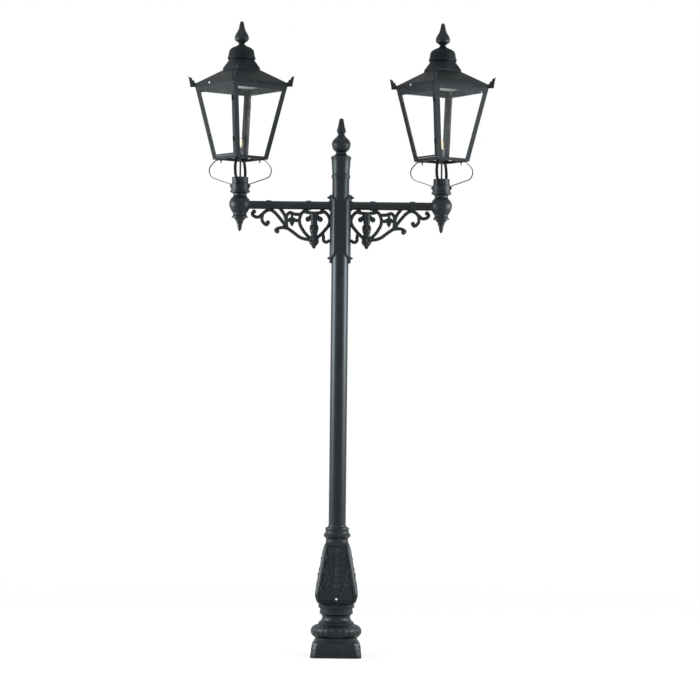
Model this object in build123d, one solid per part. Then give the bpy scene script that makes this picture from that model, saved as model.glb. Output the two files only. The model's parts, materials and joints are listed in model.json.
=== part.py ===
from build123d import *
from math import hypot, radians, sin, sqrt
import os

# A double head lamp post: a cast base with an access door, a round steel column and
# two scrolled arms, each with a square tapered lantern whose roof and one side open.
# Millimetres. +X runs along the arms, the front faces -Y and +Z is up.
# The origin is the centre of the base's underside.

# Where the main parts stand
arm_height = 2837.0         # centre of the arms above the ground
arm_reach = 636.0           # column axis to lantern axis
lantern_turns = {"left": 38.5, "right": 34.0}    # each lantern stands turned about its own axis

# Fits and walls
fit = 0.1                   # a part pushed into or over another, same piece of work
pin_play = 0.05             # radial play of a turning pin
cast_wall = 10.0            # wall of the hollow castings
sheet = 2.0                 # sheet metal of the roof

# Plinth
slab_half = 160.0           # half width of the foot slab
slab_high = 16.0
slab_edge = 3.0             # how far the slab stands out round the body
die_draw = 6.0              # how much each side of the body leans in
die_high = 58.0             # where the top edge starts to draw in
plinth_top_draw = 10.0
plinth_high = 92.0
plinth_lid = 12.0           # thickness of its top
plinth_corner = 26.0        # flat across each upright corner
cable_hole = 70.0           # radius of the cable way in its floor
anchor_pitch = 160.0        # square pattern of anchor holes
anchor_hole = 9.0           # radius, for M16

# Round bowl of the base: foot, bulge, neck and mouldings, as radius and height
bowl_wide = slab_half - 1.4 # the bulge stands as wide as the slab, just inside its edge
bowl_foot = bowl_wide - 24.6
bowl_neck_bore = 75.0
bowl_bulge = [(bowl_foot, 27), (bowl_wide - 7, 42), (bowl_wide, 62), (bowl_wide - 3.6, 82),
              (bowl_wide - 16.6, 96)]
bowl_shoulder = [(bowl_wide - 16.6, 96), (120, 107)]
bowl_step = [(120, 107), (112, 110), (112, 121)]
bowl_cove = [(112, 121), (98, 131), (90, 145)]
bowl_neck = [(90, 145), (89, 158), (97, 171)]
bowl_rings = [(97, 171), (104.5, 175), (104.5, 192), (102.5, 195), (102.5, 209), (111.5, 212), (111.5, 235),
              (108, 238), (108, 243)]
bowl_high = bowl_rings[-1][1]

# Four-sided pedestal, as half width and height above its own foot
pedestal_foot_half = 110.0
pedestal_wide = 129.0       # where its straight taper starts
pedestal_wide_at = 79.0
pedestal_narrow = 83.0      # where its straight taper ends
pedestal_narrow_at = 344.0
pedestal_top_half = 71.0
pedestal_high = 377.0
pedestal_swell = [(pedestal_foot_half, 0), (119.5, 10), (127.5, 29), (131.5, 52),
                  (pedestal_wide, pedestal_wide_at)]
pedestal_cap = [(pedestal_narrow, pedestal_narrow_at), (80, 356), (75, 368),
                (pedestal_top_half, pedestal_high)]
pedestal_arris = 11.0       # flat along each upright edge
pedestal_floor = 10.0
pedestal_lid = 12.0
column_seat = 52.0          # how far the column reaches down into the pedestal
column_ledge = 8.0          # thickness of the ledge that it stands on
column_ledge_r = 44.0

# Access door in the pedestal's front
door_foot = 22.0            # height of its lower edge above the pedestal's foot
door_high = 334.0
door_foot_half = 108.0
door_head_half = 52.0
door_gap_side = 2.5
door_gap_foot = 3.0
door_gap_head = 3.5
access_hinge_at = (60.0, 250.0)     # hinge heights above the door's lower edge
access_knuckle = 4.5
access_pin = 2.5
access_standoff = 5.2
lock_rise = 10.0            # lock above the door's lower edge
lock_head = 7.0
lock_proud = 4.0
lock_shank = 4.0
lock_face_back = 1.5        # the lock's seat behind the widest point beside it
lock_key_deep = 3.0
lock_finger = 16.5
lock_finger_wide = 8.0
lock_finger_thick = 4.0
lock_set_back = 17.5        # front of the finger behind the door's face

# Fused cut-out inside the pedestal
fuse_wide = 76.0
fuse_deep = 50.0
fuse_tall = 130.0
fuse_foot = 95.0            # above the pedestal's foot
fuse_face = 74.0            # its back, measured from the column axis
fuse_boss = 8.0

# Collar on the pedestal, as radius outside the column and height
collar_rings = [(17, 0), (17, 11), (15, 17), (19, 31), (30, 40), (31, 52), (22, 62), (19, 70),
                (19, 76), (20.5, 87), (19, 95), (5, 101), (2, 108), (1.5, 112)]
collar_high = collar_rings[-1][1]

# Column, head and finial
column_r = 54.0             # 108 mm tube
column_wall = 4.0
head_foot = 166.0           # foot of the head above the arm's centre
head_socket = 87.0          # depth of the head over the column
head_rings = [(2, 0), (2, 7), (5, 10), (5, 27), (1.5, 31), (1.5, 42), (7, 124), (9.5, 128),
              (9.5, 144), (1, 147)]
head_neck = 33.8
head_high = 169.0
finial_spigot = 12.0
finial_spigot_long = 20.0
finial_foot = [(head_neck, 0), (31, 6)]
finial_ball = [(31, 6), (48, 17), (57.5, 40), (60, 54), (56.5, 69), (48, 83), (28, 103), (20, 119)]
finial_bead = [(20, 119), (28.5, 132), (28.5, 146), (23, 158)]
finial_cone = [(23, 158), (14, 208)]
finial_tip = [(14, 208), (12, 213), (7, 217), (0, 218)]

# Saddle plates that carry the arms
saddle_thick = 13.0
saddle_half_angle = 55.0
saddle_foot = 364.0         # below the arm's centre
saddle_head = 70.0          # above the arm's centre
saddle_foot_half = 14.0     # half width of its lower end
saddle_taper = 62.0         # length of the tapered lower end
saddle_boss = 33.0
saddle_boss_out = 8.0
saddle_pad_drop = 101.0     # pad for the bracket below the arm's centre
saddle_pad = 12.0
bolt_rise = (51.0, -332.0)  # bolts above and below the arm's centre
bolt_head = (15.0, 11.0)    # radius of each head
bolt_out = (20.0, 16.0)     # how far each head stands out
bolt_shank = 5.0

# Arms and their clips
arm_r = 26.0
arm_wall = 4.0
clip_at = (202.0, 454.0)    # along the arm, drawn as the bracket's points are
clip_wide = 32.0
clip_thick = 5.0

# Scrolled bracket, points from the column axis and from the arm's centre
pattern_reach = 636.0       # reach that these points are drawn for
bracket_thick = 20.0
bracket_bar = 19.0
bracket_ball = 14.0
heart_far = [(204, -28), (239, -43), (256, -76), (258, -110), (239, -152), (209, -190), (180, -214)]
heart_near = [(127, -28), (87, -51), (70, -81), (70, -114), (98, -156), (130, -190), (162, -215)]
heart_bridge = [(112, -38), (166, -47), (220, -38)]
lower_bow = [(180, -214), (252, -203), (294, -173), (336, -143), (357, -127)]
bow_curl = [(336, -143), (370, -142), (395, -148), (407, -160), (397, -169)]
long_scroll = [(345, -136), (361, -110), (395, -68), (420, -43), (445, -31), (470, -38), (496, -60),
               (517, -76), (540, -74), (557, -57), (548, -42)]
branch_curl = [(494, -58), (496, -89), (484, -114), (465, -124), (454, -110)]
pointed_loop = [(378, -24), (357, -55), (345, -89), (338, -137)]
wave_bar = [(343, -92), (336, -60), (319, -47), (294, -55), (273, -57), (250, -56)]
side_bar = [(342, -96), (306, -97), (258, -97)]
small_curl = [(112, -178), (104, -220), (88, -230), (62, -215)]
curl_ends = [(397, -169), (548, -42), (456, -108)]
flower_at = (306.0, -99.0)
flower_half = (20.0, 33.0)
stem_at = 166.0
stem_rings = [(0, -42), (26, -42), (27, -66), (22, -88), (21, -140), (26, -148), (26, -168), (22, -176),
              (23.5, -205), (28.5, -232), (28.5, -242), (17, -252), (10, -266), (0, -274)]
capital_balls = [(126, -86), (206, -86)]
capital_ball = 16.0
capital_wide = 23.0
capital_bar = [(126, -86), (146, -70), (166, -64), (186, -70), (206, -86)]

# Cast bowl that carries each lantern, radius and height from the arm's centre
socket_foot = -82.0
socket_flange = [(51, -82), (51, -75)]
socket_waist = [(51, -75), (43, -62), (50, -45)]
socket_bulge = [(50, -45), (63, -19), (68, 6), (62, 29), (50, 46)]
socket_neck = [(50, 46), (42.5, 59), (44, 70)]
socket_collar = [(44, 70), (55, 76), (63, 79), (63, 88)]
socket_band_r = 57.5        # band that the straps are screwed to
socket_band = (92.0, 133.0)
cup_r = 51.5
cup_rim = 174.0
wire_way = 4.5
arm_seat = 40.0             # the arm's end, from the lantern's axis
conduit_seat = 24.0         # depth of the conduit in the cup's top
drop_rings = [(0, 0), (38, 0), (34, -8), (25, -18), (20, -28), (21.5, -30), (21.5, -36), (17, -38),
              (15, -50), (12.5, -66), (8, -79), (4, -84), (0, -86)]

# Lantern, heights above its own foot
lantern_rise = 285.0        # its foot above the arm's centre
body_high = 460.5           # foot to eave
foot_half = 124.0           # half side at the foot
eave_half = 208.5           # half side at the eave
foot_rail = 18.0
foot_rail_deep = 14.0
head_rail = 25.0
head_rail_deep = 14.0
post_leg = 34.0
door_post_leg = 16.0
post_thick = 3.0
gusset_thick = 3.0
gusset_reach = 60.0         # from the corner along each side
glass_thick = 3.0
glass_lap = 12.0            # from the corner to the glass's edge
upstand_inset = 9.4
upstand_high = 17.0
upstand_thick = 3.0

# Glazed door of the lantern
stile = 11.0
door_thick = 6.0
door_lip = 2.0
glass_rebate = 3.0
glass_play = 0.3
door_gap = 1.0
door_top_gap = 3.0
door_hinge_at = (80.0, 330.0)
door_knuckle = 4.0
door_pin = 2.0
door_standoff = 4.5
knuckle_long = 14.0
knuckle_play = 0.5
leaf = 8.0
leaf_sunk = 1.0             # how deep a leaf is let into its face
catch_at = 148.0
catch_head = 6.0
catch_neck = 3.6
catch_proud = 9.0
catch_shank = 2.0
catch_finger = 10.2
catch_finger_wide = 7.0
catch_finger_thick = 2.5
catch_play = 0.4
catch_back = 1.0            # finger behind the door's back

# Roof
roof_play = 0.4             # roof above its seat on the body
fascia_high = 23.0
roof_rise = 84.0            # fascia to skirt
skirt_half = 84.0
skirt_wall = 4.0
skirt_upright = 12.0
skirt_high = 67.0
lining_thick = 1.0
roof_hinge_out = 5.0
roof_hinge_up = 3.0
roof_hinge_spread = 130.0
roof_hinge_leaf = 12.0
roof_knuckle = 4.5
roof_pin = 2.2
vent_neck = 78.0
vent_wall = 3.0
vent_rings = [(88, 0), (88, 14), (84, 18), (81.5, 36), (80, 46)]
vent_dome = [(80, 46), (74, 60), (57, 74), (30, 86)]
vent_top = 17.0
vent_high = 98.0
spire_neck = 17.0
spire_ball = [(spire_neck, 0), (30, 13), (43, 25), (45.4, 38), (42.5, 52), (29, 78), (17, 113)]
spire_tip = [(17, 113), (13.5, 129), (7, 142), (0, 145)]
ear_thick = 8.0
ear_outline = [(0, 0), (32, 0), (34, 20), (39, 47), (44, 68), (21, 56), (20, 44), (8, 43), (6, 31), (-3, 26)]
knob_share = 0.62           # place along the eave, front corner to left corner
knob_rise = 14.0
knob_r = 6.5
knob_proud = 6.0
knob_rim = 2.0
knob_shank = 3.0
knob_gap = 1.0              # between its shank and the upstand

# Straps between the cup and the lantern's foot, in the diagonal planes
strap_wide = 18.0
strap_thick = 4.0
strap_inner = 82.0
strap_tab_out = 156.0
strap_bow = (206.0, 58.0)   # out from the axis, and below the lantern's foot
strap_knee = (186.0, 112.0)
strap_foot_drop = 155.0
strap_tail = 22.0
strap_bends = (38.0, 52.0, 44.0, 8.0)
screw_r = 3.0
screw_head = 5.5
screw_head_long = 8.0
screw_long = 20.0
screw_drop = 12.0           # below the bend at the strap's foot
drop_bolt_at = 124.0
drop_bolt_r = 3.0
drop_bolt_nut = 6.0
drop_bolt_long = 24.0

# Lampholder and bulb
conduit_r = 6.0
conduit_wall = 1.5
holder_r = 18.0
holder_foot = 26.0          # above the lantern's foot
holder_high = 52.0
holder_bore = 14.0
holder_floor = 14.0
cap_r = 13.2
cap_high = 34.0
bulb_wall = 1.2
bulb_neck = [(12.5, 0), (13, 6)]
bulb_round = [(13, 6), (17, 22), (16, 42), (9, 60), (0, 68)]

# Heights worked out from the sizes above
bowl_z = plinth_high
pedestal_z = bowl_z + bowl_high
collar_z = pedestal_z + pedestal_high
head_z = arm_height + head_foot
column_top = head_z + head_socket
finial_z = head_z + head_high
lantern_z = arm_height + lantern_rise
eave_z = lantern_z + body_high
saddle_r = column_r + saddle_thick
pattern_share = arm_reach / pattern_reach
plinth_mouth = bowl_foot - 16.0     # radius of the opening in the plinth's top
strap_foot_z = lantern_z - strap_foot_drop
screw_z = strap_foot_z - screw_drop
strap_out = socket_band_r + fit
body_slope = (eave_half - foot_half) / body_high
pedestal_slope = (pedestal_wide - pedestal_narrow) / (pedestal_narrow_at - pedestal_wide_at)


def run(points):
    # One stretch of an outline: a line, an arc through three points or a smooth curve.
    if len(points) == 2:
        return Line(*points)
    if len(points) == 3:
        return ThreePointArc(*points)
    return Spline(*points)


def closed_face(*runs):
    return make_face([run(points) for points in runs])


def corners(points):
    return [[a, b] for a, b in zip(points, points[1:])]


def turned(*runs):
    # A solid turned about the Z axis from stretches of outline (radius, height).
    first = runs[0][0]
    last = runs[-1][-1]
    sides = list(runs)
    if last != first:
        sides.append([last, first])
    return revolve(Plane.XZ * closed_face(*sides), Axis.Z)


def tube(radius, wall, length):
    ring = Circle(radius) - Circle(radius - wall)
    return extrude(ring, length)


def rod(radius, low, high):
    return Pos(0, 0, low) * extrude(Circle(radius), high - low)


def block(x0, x1, y0, y1, z0, z1):
    return Pos((x0 + x1) / 2, (y0 + y1) / 2, (z0 + z1) / 2) * Box(x1 - x0, y1 - y0, z1 - z0)


def cut_square(half, cut):
    points = [(half - cut, -half), (half, cut - half), (half, half - cut), (half - cut, half),
              (cut - half, half), (-half, half - cut), (-half, cut - half), (cut - half, -half)]
    return make_face(Polyline(*points, close=True))


def frustum(low_half, high_half, low, high):
    return loft([Pos(0, 0, low) * Rectangle(2 * low_half, 2 * low_half),
                 Pos(0, 0, high) * Rectangle(2 * high_half, 2 * high_half)])


def four_times(shape):
    return [Rot(0, 0, 90 * i) * shape for i in range(4)]


def save(name, shapes):
    # One file for each node; several equal fasteners lie in it as separate solids.
    solids = [s for shape in shapes for s in shape.solids()]
    whole = solids[0] if len(solids) == 1 else Compound(children=solids)
    whole.label = name
    export_step(whole, "parts/" + name + ".step")


# Base: plinth, bowl and pedestal

def make_plinth():
    foot = extrude(cut_square(slab_half, plinth_corner), slab_high)
    low_half = slab_half - slab_edge
    high_half = low_half - die_draw

    def square_at(half, z):
        return Pos(0, 0, z) * cut_square(half, plinth_corner)

    body = loft([square_at(low_half, slab_high), square_at(high_half, die_high)])
    top = loft([square_at(high_half, die_high), square_at(high_half - plinth_top_draw, plinth_high)])
    inside_top = plinth_high - plinth_lid
    inside = loft([square_at(low_half - cast_wall, slab_high), square_at(high_half - cast_wall, inside_top)])
    plinth = foot + body + top - inside
    plinth -= rod(cable_hole, 0, slab_high)
    plinth -= rod(plinth_mouth, slab_high, plinth_high)
    half = anchor_pitch / 2
    for x in (-half, half):
        for y in (-half, half):
            plinth -= Pos(x, y, 0) * rod(anchor_hole, 0, slab_high)
    return plinth


def make_base_bowl():
    top_r, top = bowl_rings[-1]
    inner = [(top_r, top), (bowl_neck_bore, top), (bowl_neck_bore, 125), (plinth_mouth, 80),
             (plinth_mouth, 0), (bowl_foot, 0), bowl_bulge[0]]
    outer = [bowl_bulge, bowl_shoulder, *corners(bowl_step), bowl_cove, bowl_neck] + corners(bowl_rings)
    return Pos(0, 0, bowl_z) * turned(*outer, *corners(inner))


def pedestal_solid(inset):
    # Square in plan with cut corners: four profiles crossed, each as wide as its direction.
    def profile(width_of):
        side = [[(width_of(h), z) for h, z in points] for points in
                (pedestal_swell, [pedestal_swell[-1], pedestal_cap[0]], pedestal_cap)]
        other = [[(-x, z) for x, z in points] for points in side]
        foot = [side[0][0], other[0][0]]
        head = [side[-1][-1], other[-1][-1]]
        return extrude(Plane.XZ * closed_face(*side, *other, foot, head), 2 * slab_half, both=True)

    flat = profile(lambda h: h - inset)
    diagonal = profile(lambda h: sqrt(2) * (h - inset) - pedestal_arris / sqrt(2))
    return flat & (Rot(0, 0, 90) * flat) & (Rot(0, 0, 45) * diagonal) & (Rot(0, 0, 135) * diagonal)


def door_prism(side_gap, foot_gap, head_gap):
    lean = (door_foot_half - door_head_half) / door_high
    low = door_foot - foot_gap
    high = door_foot + door_high + head_gap
    low_half = door_foot_half + side_gap + lean * foot_gap
    high_half = door_head_half + side_gap - lean * head_gap
    outline = Polyline((-low_half, low), (low_half, low), (high_half, high), (-high_half, high), close=True)
    front = Plane(origin=(0, 0, 0), x_dir=(1, 0, 0), z_dir=(0, -1, 0))
    return extrude(front * make_face(outline), slab_half)


def straight_half(z):
    return pedestal_wide - pedestal_slope * (z - pedestal_wide_at)


def hinge(place, knuckle_r, pin_r, fixed_box, moving_box):
    # A pair of knuckles and their pin along local Z; each leaf is a box (x0, x1, y0, y1).
    def part(box, z0, z1):
        solid = rod(knuckle_r, z0, z1) + block(*box, z0, z1)
        return solid - rod(pin_r + pin_play, z0, z1)

    high = 2 * knuckle_long + knuckle_play
    fixed = place * part(fixed_box, 0, knuckle_long)
    moving = place * part(moving_box, knuckle_long + knuckle_play, high)
    pin = place * rod(pin_r, 0, high)
    return fixed, moving, pin


def access_hinges():
    lean = (door_foot_half - door_head_half) / door_high
    along = Vector(lean, pedestal_slope, 1).normalized()
    out = Vector(0, -1, pedestal_slope).normalized()
    across = out.cross(along).normalized()
    parts = []
    for rise in access_hinge_at:
        z = door_foot + rise
        edge = Vector(-(door_foot_half - lean * rise) - door_gap_side / 2, -straight_half(z), z)
        place = Location(Plane(origin=edge + out * access_standoff, x_dir=across * -1, z_dir=along))
        fixed_leaf = (-leaf, -door_gap_side / 2, 0, access_standoff + leaf_sunk)
        moving_leaf = (door_gap_side / 2, leaf, 0, access_standoff + leaf_sunk)
        parts.append(hinge(place, access_knuckle, access_pin, fixed_leaf, moving_leaf))
    return parts


def make_pedestal_group():
    shell = pedestal_solid(0)
    room = pedestal_solid(cast_wall) & block(-slab_half, slab_half, -slab_half, slab_half,
                                             pedestal_floor, pedestal_high - pedestal_lid)
    shell -= room
    shell -= rod(bowl_neck_bore, 0, pedestal_floor)
    door = shell & door_prism(0, 0, 0)
    shell -= door_prism(door_gap_side, door_gap_foot, door_gap_head)
    seat = pedestal_high - column_seat
    shell += rod(column_r + cast_wall, seat - column_ledge, pedestal_high - pedestal_lid)
    shell -= rod(column_ledge_r, seat - column_ledge, pedestal_high)
    shell -= rod(column_r + fit, seat, pedestal_high)
    pins = []
    for fixed, moving, pin in access_hinges():
        shell += fixed
        door += moving
        pins.append(pin)
    wall = pedestal_solid(cast_wall / 2)
    for z in (fuse_foot + fuse_tall * 0.2, fuse_foot + fuse_tall * 0.8):
        boss = Pos(0, 0, z) * Rot(-90, 0, 0) * rod(fuse_boss, fuse_face, slab_half)
        shell += boss & wall
    lock_z = door_foot + lock_rise
    face = Vector(0, -lock_face(lock_z), lock_z)
    lock_place = Location(Plane(origin=face, x_dir=(1, 0, 0), z_dir=(0, -1, 0)))
    door -= lock_place * rod(lock_shank + pin_play, -slab_half / 4, slab_half / 4)
    door -= lock_place * rod(lock_head + pin_play, -1, slab_half / 4)
    lock = rod(lock_shank, -lock_set_back, -1) + rod(lock_head, -1, lock_proud)
    lock += block(-lock_finger_wide / 2, lock_finger, -lock_finger_wide / 2, lock_finger_wide / 2,
                  -lock_set_back - lock_finger_thick, -lock_set_back)
    key = RegularPolygon(lock_shank * 0.8, 3)
    lock -= Pos(0, 0, lock_proud - lock_key_deep) * extrude(key, lock_key_deep)
    fuse = block(-fuse_wide / 2, fuse_wide / 2, fuse_face - fuse_deep, fuse_face,
                 fuse_foot, fuse_foot + fuse_tall)
    fuse = fillet(fuse.edges().filter_by(Axis.Z), 5)
    raise_up = Pos(0, 0, pedestal_z)
    save("pedestal", [raise_up * shell])
    save("access_door", [raise_up * door])
    save("access_door_pins", [raise_up * pin for pin in pins])
    save("access_door_lock", [raise_up * lock_place * lock])
    save("fuse_unit", [raise_up * fuse])


def lock_face(z):
    # Half depth of the pedestal where the lock sits, on the swelling near its foot.
    section = pedestal_solid(0) & block(-1, 1, -slab_half, 0, z - 0.5, z + 0.5)
    return -section.bounding_box().min.Y - lock_face_back


# Column: collar, tube, head and finial

def make_column_group():
    bore = column_r + fit
    rings = [(column_r + out, z) for out, z in collar_rings]
    collar = turned(*corners(rings), *corners([rings[-1], (bore, collar_high), (bore, 0), rings[0]]))
    save("pedestal_collar", [Pos(0, 0, collar_z) * collar])
    foot = collar_z - column_seat
    column = Pos(0, 0, foot) * tube(column_r, column_wall, column_top - foot)
    rings = [(column_r + out, z) for out, z in head_rings]
    inner = [(head_neck, head_high), (finial_spigot + fit, head_high),
             (finial_spigot + fit, head_high - finial_spigot_long), (0, head_high - finial_spigot_long),
             (0, head_socket), (bore, head_socket), (bore, 0), rings[0]]
    shoulder = [rings[-1], (head_neck + 2, head_high - 10), (head_neck, head_high)]
    save("column_head", [Pos(0, 0, head_z) * turned(*corners(rings), *corners(shoulder), *corners(inner))])
    finial = turned([(0, 0), (head_neck, 0)], finial_foot, finial_ball, *corners(finial_bead),
                    finial_cone, finial_tip)
    finial += rod(finial_spigot, -finial_spigot_long, 0)
    save("column_finial", [Pos(0, 0, finial_z) * finial])
    return column


# Arms: saddles, bolts, tubes, clips and scrolled brackets, drawn on the +X side

def make_saddle():
    half = saddle_r * sin(radians(saddle_half_angle))
    low = arm_height - saddle_foot
    plate = rod(saddle_r, low, arm_height + saddle_head)
    spring = arm_height + saddle_head - half
    knee = low + saddle_taper
    outline = [[(-saddle_foot_half, low), (saddle_foot_half, low)],
               [(saddle_foot_half, low), (half, knee)],
               [(half, knee), (half, spring)],
               [(half, spring), (0, spring + half), (-half, spring)],
               [(-half, spring), (-half, knee)],
               [(-half, knee), (-saddle_foot_half, low)]]
    mask = extrude(Plane.YZ * closed_face(*outline), 2 * saddle_r)
    plate &= mask
    around = Rot(0, 90, 0)
    boss = Pos(0, 0, arm_height) * around * rod(saddle_boss, column_r, saddle_r + saddle_boss_out)
    pad = Pos(0, 0, arm_height - saddle_pad_drop) * around * rod(saddle_pad, column_r, saddle_r)
    saddle = plate + boss + pad
    saddle -= rod(column_r + fit, low - saddle_thick, arm_height + saddle_head + saddle_thick)
    saddle -= Pos(0, 0, arm_height) * around * rod(arm_r + fit, saddle_r, saddle_r + saddle_boss_out)
    for rise in bolt_rise:
        saddle -= Pos(0, 0, arm_height + rise) * around * rod(bolt_shank + fit, 0, 2 * saddle_r)
    return saddle


def saddle_bolt(rise, head, out):
    inner = column_r - column_wall
    shank = rod(bolt_shank, inner, saddle_r)
    cone = turned(*corners([(0, 0), (head, 0), (head, 3), (head * 0.6, 5), (head * 0.45, out * 0.7),
                            (0, out)]))
    return Pos(0, 0, arm_height + rise) * Rot(0, 90, 0) * (shank + Pos(0, 0, saddle_r) * cone)


def spread(points):
    # The bracket and the clips reach out in step with the arm.
    return [(x * pattern_share, z) for x, z in points]


def bar(points, width=bracket_bar):
    path = run(points)
    ends = Sketch() + [Pos(*points[0]) * Circle(width / 2), Pos(*points[-1]) * Circle(width / 2)]
    return trace(path, width) + ends


def make_bracket():
    flat = Sketch()
    for points in (heart_far, heart_near, heart_bridge, lower_bow, bow_curl, long_scroll, branch_curl,
                   pointed_loop, wave_bar, side_bar, small_curl):
        flat += bar(spread(points))
    flat += bar(spread(capital_bar), capital_wide)
    flat += Pos(*spread([flower_at])[0]) * Ellipse(*flower_half)
    solid = extrude(Plane.XZ * flat, bracket_thick / 2, both=True)
    for x, z in spread(curl_ends):
        solid += Pos(x, 0, z) * Rot(90, 0, 0) * Cylinder(bracket_ball, bracket_thick + 4)
    for x, z in spread(capital_balls):
        solid += Pos(x, 0, z) * Rot(90, 0, 0) * Cylinder(capital_ball, bracket_thick + 6)
    stem = turned(*corners(stem_rings))
    solid += Pos(stem_at * pattern_share, 0, 0) * stem
    solid = Pos(0, 0, arm_height) * solid
    along = Pos(0, 0, arm_height) * Rot(0, 90, 0)
    solid -= along * rod(arm_r + fit, 0, arm_reach)
    reach = clip_wide / 2 + fit
    for x in clip_at:
        middle = x * pattern_share
        solid -= along * rod(arm_r + clip_thick + fit, middle - reach, middle + reach)
    solid -= block(0, saddle_r + fit, -slab_half, slab_half, arm_height - saddle_foot, arm_height)
    solid -= along * rod(saddle_boss + fit, 0, saddle_r + saddle_boss_out + fit)
    return solid


def make_arm_group(column):
    along = Pos(0, 0, arm_height) * Rot(0, 90, 0)
    bolts = [saddle_bolt(rise, head, out) for rise, head, out in zip(bolt_rise, bolt_head, bolt_out)]
    for rise in bolt_rise:
        column -= Pos(0, 0, arm_height + rise) * Rot(0, 90, 0) * rod(bolt_shank + fit, -saddle_r, saddle_r)
    save("column_tube", [column])
    saddle = make_saddle()
    arm = along * Pos(0, 0, saddle_r) * tube(arm_r, arm_wall, arm_reach - arm_seat - saddle_r)
    bracket = make_bracket()
    clip = tube(arm_r + clip_thick, clip_thick - fit, clip_wide)
    clips = [along * Pos(0, 0, x * pattern_share - clip_wide / 2) * clip for x in clip_at]
    turn = {"right": Rot(0, 0, 0), "left": Rot(0, 0, 180)}
    for side, place in turn.items():
        save(side + "_saddle", [place * saddle])
        save(side + "_arm", [place * arm])
        save(side + "_bracket", [place * bracket])
    save("saddle_bolts", [place * bolt for place in turn.values() for bolt in bolts])
    save("arm_clips", [place * clip for place in turn.values() for clip in clips])


# Lantern, drawn about the Z axis with its glazed door on the -X side

def side_place():
    # Face of the body on the -X side: local X along the side, local Y up it, local Z out.
    up = Vector(-body_slope, 0, 1).normalized()
    out = Vector(-1, 0, -body_slope).normalized()
    return Location(Plane(origin=(-foot_half, 0, lantern_z), x_dir=up.cross(out), z_dir=out))


def half_at(rise):
    return foot_half + body_slope * rise


def slab(low, high):
    reach = 2 * eave_half
    return block(-reach, reach, -reach, reach, lantern_z + low, lantern_z + high)


def body_frustum(inset, low, high):
    return frustum(half_at(low) - inset, half_at(high) - inset, lantern_z + low, lantern_z + high)


def side_panel(low, high, edge_left, edge_right, depth_out, depth_in):
    # A strip of one side: edge_left and edge_right are measured from the body's corners.
    stretch = hypot(1, body_slope)
    y0, y1 = low * stretch, high * stretch
    outline = Polyline((-half_at(low) + edge_left, y0), (half_at(low) - edge_right, y0),
                       (half_at(high) - edge_right, y1), (-half_at(high) + edge_left, y1), close=True)
    solid = extrude(Pos(0, 0, depth_in) * make_face(outline), depth_out - depth_in)
    return side_place() * solid


def make_rails():
    foot = body_frustum(0, 0, foot_rail) - body_frustum(foot_rail_deep, 0, foot_rail)
    inside = body_frustum(foot_rail_deep, 0, gusset_thick)
    for corner in four_times(Pos(-foot_half, -foot_half, 0) * Rot(0, 0, 45)
                             * block(0, 2 * gusset_reach / sqrt(2), -gusset_reach, gusset_reach,
                                     lantern_z, lantern_z + gusset_thick)):
        foot += corner & inside
    low = body_high - head_rail
    head = body_frustum(0, low, body_high) - body_frustum(head_rail_deep, low, body_high)
    rim = 2 * (eave_half - upstand_inset)
    upstand = Rectangle(rim, rim) - Rectangle(rim - 2 * upstand_thick, rim - 2 * upstand_thick)
    head += Pos(0, 0, eave_z) * extrude(upstand, upstand_high)
    return foot, head


def make_posts():
    low, high = foot_rail, body_high - head_rail
    shell = body_frustum(0, low, high) - body_frustum(post_thick, low, high)
    reach = 2 * eave_half
    for i in range(4):
        leg = door_post_leg if i == 0 else post_leg
        window = side_panel(low - leg, high + leg, leg, leg, leg, -leg)
        shell -= Rot(0, 0, 90 * i) * window
    return shell & slab(low, high) & block(-reach, reach, -reach, reach, lantern_z, eave_z)


def make_fixed_glass():
    low, high = foot_rail, body_high - head_rail
    pane = side_panel(low - 10, high + 10, glass_lap, glass_lap, -post_thick, -post_thick - glass_thick)
    pane &= slab(low, high)
    return [Rot(0, 0, 90 * i) * pane for i in (1, 2, 3)]


def lantern_hinges():
    # Knuckles beside the front post; local X points to the door, local Y out of the face.
    out = Vector(-1, 0, -body_slope).normalized()
    parts = []
    for rise in door_hinge_at:
        edge_y = -half_at(foot_rail + rise) + door_post_leg + door_gap / 2
        edge = Vector(-half_at(foot_rail + rise), edge_y, lantern_z + foot_rail + rise)
        along = Vector(-body_slope, -body_slope, 1).normalized()
        across = out.cross(along).normalized()
        place = Location(Plane(origin=edge + out * door_standoff, x_dir=across, z_dir=along))
        sunk = -door_standoff - leaf_sunk
        parts.append(hinge(place, door_knuckle, door_pin, (-leaf, -door_gap / 2, sunk, 0),
                           (door_gap / 2, leaf, sunk, 0)))
    return parts


def make_door():
    low = foot_rail + door_gap
    high = body_high - head_rail - door_top_gap
    edge = door_post_leg + door_gap
    inner = edge + stile
    leaf_frame = side_panel(low, high, edge, edge, 0, -door_thick)
    leaf_frame -= side_panel(low + stile, high - stile, inner, inner, 1, -door_thick - 1)
    seat = inner - glass_rebate
    leaf_frame -= side_panel(low + stile - glass_rebate, high - stile + glass_rebate, seat, seat,
                             -door_lip, -door_thick - 1)
    seat += glass_play
    pane = side_panel(low + stile - glass_rebate + glass_play, high - stile + glass_rebate - glass_play,
                      seat, seat, -door_lip, -door_lip - glass_thick)
    return leaf_frame, pane


def catch_place():
    across = half_at(catch_at) - door_post_leg - door_gap - stile / 2
    return side_place() * Pos(-across, catch_at * hypot(1, body_slope), 0)


def make_catch():
    knob = turned(*corners([(0, catch_play), (catch_neck, catch_play), (catch_neck, 2), (catch_head, 3),
                            (catch_head, catch_proud - 2), (catch_head - 2, catch_proud), (0, catch_proud)]))
    finger_front = -door_thick - catch_back
    finger_back = finger_front - catch_finger_thick
    knob += rod(catch_shank, finger_front, 1)
    half = catch_finger_wide / 2
    finger = block(-half, half, -half, catch_finger - half, finger_back, finger_front)
    finger += Pos(0, catch_finger - half, 0) * rod(half, finger_back, finger_front)
    return knob + finger


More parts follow.
